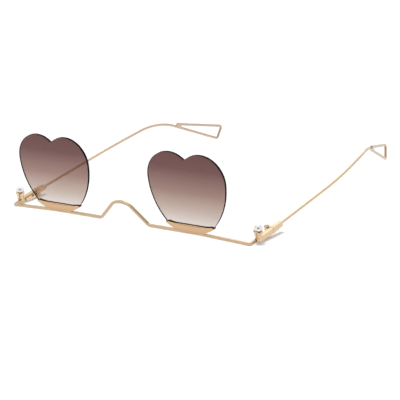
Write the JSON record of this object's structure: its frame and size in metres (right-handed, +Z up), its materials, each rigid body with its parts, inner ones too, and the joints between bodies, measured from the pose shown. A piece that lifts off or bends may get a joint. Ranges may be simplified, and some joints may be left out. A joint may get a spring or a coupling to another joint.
{
  "type": "heart shaped sunglasses",
  "caption": "Rimless heart-lens sunglasses on a gold wire bar with a nose arch, pearl-topped hinges and folding wire temples that end in triangular loops.",
  "frame": {"origin": "middle of the footprint of the open sunglasses, on the surface that they stand on", "axes": "+Z up, +Y from the front back to the temple tips, +X to the wearer's left"},
  "size_m": [0.146, 0.1648, 0.0403],
  "materials": {
    "gold": "polished pale gold plating on metal wire and cast pieces",
    "lens": "clear lens with a brown gradient tint, darker at the top",
    "liner": "dark matte strip",
    "pearl": "pearlescent white, glossy"
  },
  "bodies": {
    "front": {"front_wire": "gold", "left_lens": "lens", "left_lens_shoe": "gold", "left_lens_liner": "liner", "left_endpiece": "gold", "left_hinge_screw": "gold", "left_pearl_cup": "gold", "left_pearl": "pearl", "left_pearl_peg": "gold", "right_lens": "lens", "right_lens_shoe": "gold", "right_lens_liner": "liner", "right_endpiece": "gold", "right_hinge_screw": "gold", "right_pearl_cup": "gold", "right_pearl": "pearl", "right_pearl_peg": "gold"},
    "left_temple": {"left_temple_leaf": "gold", "left_temple_wire": "gold", "left_loop_joint": "gold"},
    "right_temple": {"right_temple_leaf": "gold", "right_temple_wire": "gold", "right_loop_joint": "gold"}
  },
  "joints": [
    {"name": "left_temple_fold", "type": "hinge", "parent": "front", "child": "left_temple", "pos_m": [0.0684, -0.06077, 0.0027], "axis": [0, -0.1392, 0.9903], "range_deg": [0, 90]},
    {"name": "right_temple_fold", "type": "hinge", "parent": "front", "child": "right_temple", "pos_m": [-0.0684, -0.06077, 0.0027], "axis": [0, 0.1392, -0.9903], "range_deg": [0, 85]}
  ]
}
